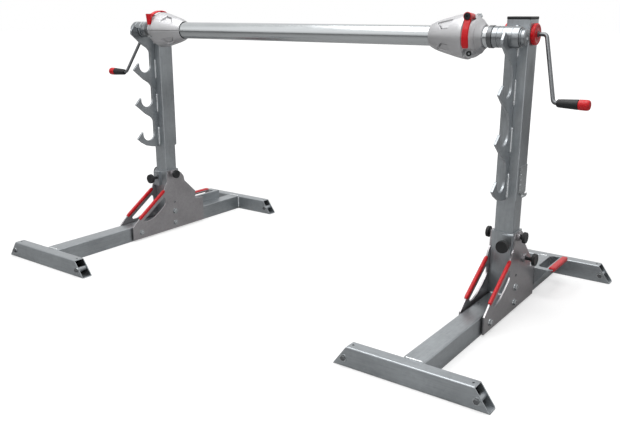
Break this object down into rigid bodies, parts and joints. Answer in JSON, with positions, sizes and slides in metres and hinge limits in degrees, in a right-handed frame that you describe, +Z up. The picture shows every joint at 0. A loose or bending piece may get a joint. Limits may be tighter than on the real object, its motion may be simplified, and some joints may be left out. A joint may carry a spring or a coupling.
{
  "type": "cable drum jack",
  "caption": "Cable drum jack: a plain axle with clamping cones rests in the hooks of crank-raised telescopic masts on wide T-shaped bases.",
  "frame": {"origin": "on the floor under the middle of the axle's length, midway between the front and rear feet", "axes": "+X along the axle, +Z up, -Y is the side the hooks open to"},
  "size_m": [1.986, 1.098, 0.9224],
  "materials": {
    "zinc_steel": "galvanised, satin",
    "dark_steel": "galvanised plate, dull",
    "bright_steel": "bright zinc, polished",
    "cast_aluminium": "cast, tumbled",
    "red_plastic": "glossy",
    "black_plastic": "fine texture",
    "white_plastic": "smooth sliding plastic",
    "bronze": "machined"
  },
  "bodies": {
    "base": {"right_front_foot": "zinc_steel", "right_rear_foot": "zinc_steel", "right_beam": "zinc_steel", "right_side_plate_outer": "dark_steel", "right_side_plate_inner": "dark_steel", "right_front_grips": "red_plastic", "right_rear_handle": "zinc_steel", "right_rear_grip": "red_plastic", "right_mast_socket": "zinc_steel", "right_inner_mast": "zinc_steel", "left_front_foot": "zinc_steel", "left_rear_foot": "zinc_steel", "left_beam": "zinc_steel", "left_side_plate_outer": "dark_steel", "left_side_plate_inner": "dark_steel", "left_front_grips": "red_plastic", "left_rear_handle": "zinc_steel", "left_rear_grip": "red_plastic", "left_mast_socket": "zinc_steel", "left_inner_mast": "zinc_steel", "base_fasteners": "bright_steel", "spindle_nuts": "bronze"},
    "right_mast": {"right_outer_mast": "zinc_steel", "right_hook_rail": "zinc_steel", "right_mast_cap": "black_plastic", "right_glide_liner": "white_plastic", "right_head_block": "dark_steel", "right_crank_covers": "red_plastic"},
    "right_spindle_body": {"right_spindle": "bright_steel"},
    "right_crank": {"right_crank_shaft": "bright_steel", "right_crank_arm": "bright_steel"},
    "right_grip": {"right_crank_grip": "black_plastic"},
    "right_plunger_front_body": {"right_plunger_front": "black_plastic"},
    "right_plunger_outer_body": {"right_plunger_outer": "black_plastic"},
    "right_plunger_inner_body": {"right_plunger_inner": "black_plastic"},
    "right_plunger_rear_body": {"right_plunger_rear": "black_plastic"},
    "left_mast": {"left_outer_mast": "zinc_steel", "left_hook_rail": "zinc_steel", "left_mast_cap": "black_plastic", "left_glide_liner": "white_plastic", "left_head_block": "dark_steel", "left_crank_covers": "red_plastic"},
    "left_spindle_body": {"left_spindle": "bright_steel"},
    "left_crank": {"left_crank_shaft": "bright_steel", "left_crank_arm": "bright_steel"},
    "left_grip": {"left_crank_grip": "black_plastic"},
    "left_plunger_front_body": {"left_plunger_front": "black_plastic"},
    "left_plunger_outer_body": {"left_plunger_outer": "black_plastic"},
    "left_plunger_inner_body": {"left_plunger_inner": "black_plastic"},
    "left_plunger_rear_body": {"left_plunger_rear": "black_plastic"},
    "axle_carrier": {"bearing_sleeves": "bright_steel"},
    "axle": {"axle_tube": "zinc_steel", "axle_journals": "bright_steel"},
    "right_cone": {"right_cone_front": "cast_aluminium", "right_cone_rear": "cast_aluminium"},
    "left_cone": {"left_cone_top": "cast_aluminium", "left_cone_bottom": "cast_aluminium"},
    "right_lever": {"right_cone_lever": "red_plastic"},
    "left_lever": {"left_cone_lever": "red_plastic"}
  },
  "joints": [
    {"name": "right_lift", "type": "slide", "parent": "base", "child": "right_mast", "axis": [0, 0, 1], "range_m": [-0.095, 0.2]},
    {"name": "right_spindle_turn", "type": "hinge", "parent": "right_mast", "child": "right_spindle_body", "pos_m": [0.762, 0.083, 0.6], "axis": [0, 0, 1], "range_deg": [-3421, 7201]},
    {"name": "right_crank_turn", "type": "hinge", "parent": "right_mast", "child": "right_crank", "pos_m": [0.822, 0.083, 0.853], "axis": [1, 0, 0], "range_deg": [-3421, 7201]},
    {"name": "right_grip_spin", "type": "hinge", "parent": "right_crank", "child": "right_grip", "pos_m": [0.942, 0.00958, 0.67127], "axis": [1, 0, 0], "continuous": true},
    {"name": "right_front_pull", "type": "slide", "parent": "base", "child": "right_plunger_front_body", "axis": [0, -1, 0], "range_m": [0, 0.012], "stiffness_N_per_m": 1500, "springref_m": -0.006},
    {"name": "right_outer_pull", "type": "slide", "parent": "base", "child": "right_plunger_outer_body", "axis": [1, 0, 0], "range_m": [0, 0.012], "stiffness_N_per_m": 1500, "springref_m": -0.006},
    {"name": "right_inner_pull", "type": "slide", "parent": "base", "child": "right_plunger_inner_body", "axis": [-1, 0, 0], "range_m": [0, 0.012], "stiffness_N_per_m": 1500, "springref_m": -0.006},
    {"name": "right_rear_pull", "type": "slide", "parent": "base", "child": "right_plunger_rear_body", "axis": [1, 0, 0], "range_m": [0, 0.012], "stiffness_N_per_m": 1500, "springref_m": -0.006},
    {"name": "left_lift", "type": "slide", "parent": "base", "child": "left_mast", "axis": [0, 0, 1], "range_m": [-0.0951, 0.2001]},
    {"name": "left_spindle_turn", "type": "hinge", "parent": "left_mast", "child": "left_spindle_body", "pos_m": [-0.762, 0.083, 0.6], "axis": [0, 0, 1], "range_deg": [-3421, 7201]},
    {"name": "left_crank_turn", "type": "hinge", "parent": "left_mast", "child": "left_crank", "pos_m": [-0.822, 0.083, 0.853], "axis": [1, 0, 0], "range_deg": [-7201, 3421]},
    {"name": "left_grip_spin", "type": "hinge", "parent": "left_crank", "child": "left_grip", "pos_m": [-0.942, 0.00958, 0.67127], "axis": [1, 0, 0], "continuous": true},
    {"name": "left_front_pull", "type": "slide", "parent": "base", "child": "left_plunger_front_body", "axis": [0, -1, 0], "range_m": [0, 0.012], "stiffness_N_per_m": 1500, "springref_m": -0.006},
    {"name": "left_outer_pull", "type": "slide", "parent": "base", "child": "left_plunger_outer_body", "axis": [-1, 0, 0], "range_m": [0, 0.012], "stiffness_N_per_m": 1500, "springref_m": -0.006},
    {"name": "left_inner_pull", "type": "slide", "parent": "base", "child": "left_plunger_inner_body", "axis": [1, 0, 0], "range_m": [0, 0.012], "stiffness_N_per_m": 1500, "springref_m": -0.006},
    {"name": "left_rear_pull", "type": "slide", "parent": "base", "child": "left_plunger_rear_body", "axis": [-1, 0, 0], "range_m": [0, 0.012], "stiffness_N_per_m": 1500, "springref_m": -0.006},
    {"name": "axle_lift_off", "type": "slide", "parent": "right_mast", "child": "axle_carrier", "axis": [0, 0, 1], "range_m": [0, 0.06]},
    {"name": "axle_spin", "type": "hinge", "parent": "axle_carrier", "child": "axle", "pos_m": [0, -0.005, 0.8464], "axis": [1, 0, 0], "continuous": true},
    {"name": "right_cone_slide", "type": "slide", "parent": "axle", "child": "right_cone", "axis": [-1, 0, 0], "range_m": [-0.01, 0.4]},
    {"name": "left_cone_slide", "type": "slide", "parent": "axle", "child": "left_cone", "axis": [1, 0, 0], "range_m": [-0.01, 0.4]},
    {"name": "right_lever_turn", "type": "hinge", "parent": "right_cone", "child": "right_lever", "pos_m": [0.65634, -0.045, 0.9024], "axis": [0, 1, 0], "range_deg": [0, 150]},
    {"name": "left_lever_turn", "type": "hinge", "parent": "left_cone", "child": "left_lever", "pos_m": [-0.65634, -0.061, 0.8864], "axis": [0, 0, 1], "range_deg": [0, 150]}
  ],
  "couplings": [
    {"joint": "right_spindle_turn", "follows": "right_lift", "rad_per_m": 628.32},
    {"joint": "left_spindle_turn", "follows": "right_lift", "rad_per_m": 628.32},
    {"joint": "right_crank_turn", "follows": "right_lift", "rad_per_m": 628.32},
    {"joint": "left_crank_turn", "follows": "right_lift", "rad_per_m": -628.32},
    {"joint": "left_lift", "follows": "right_lift", "ratio": 1}
  ]
}
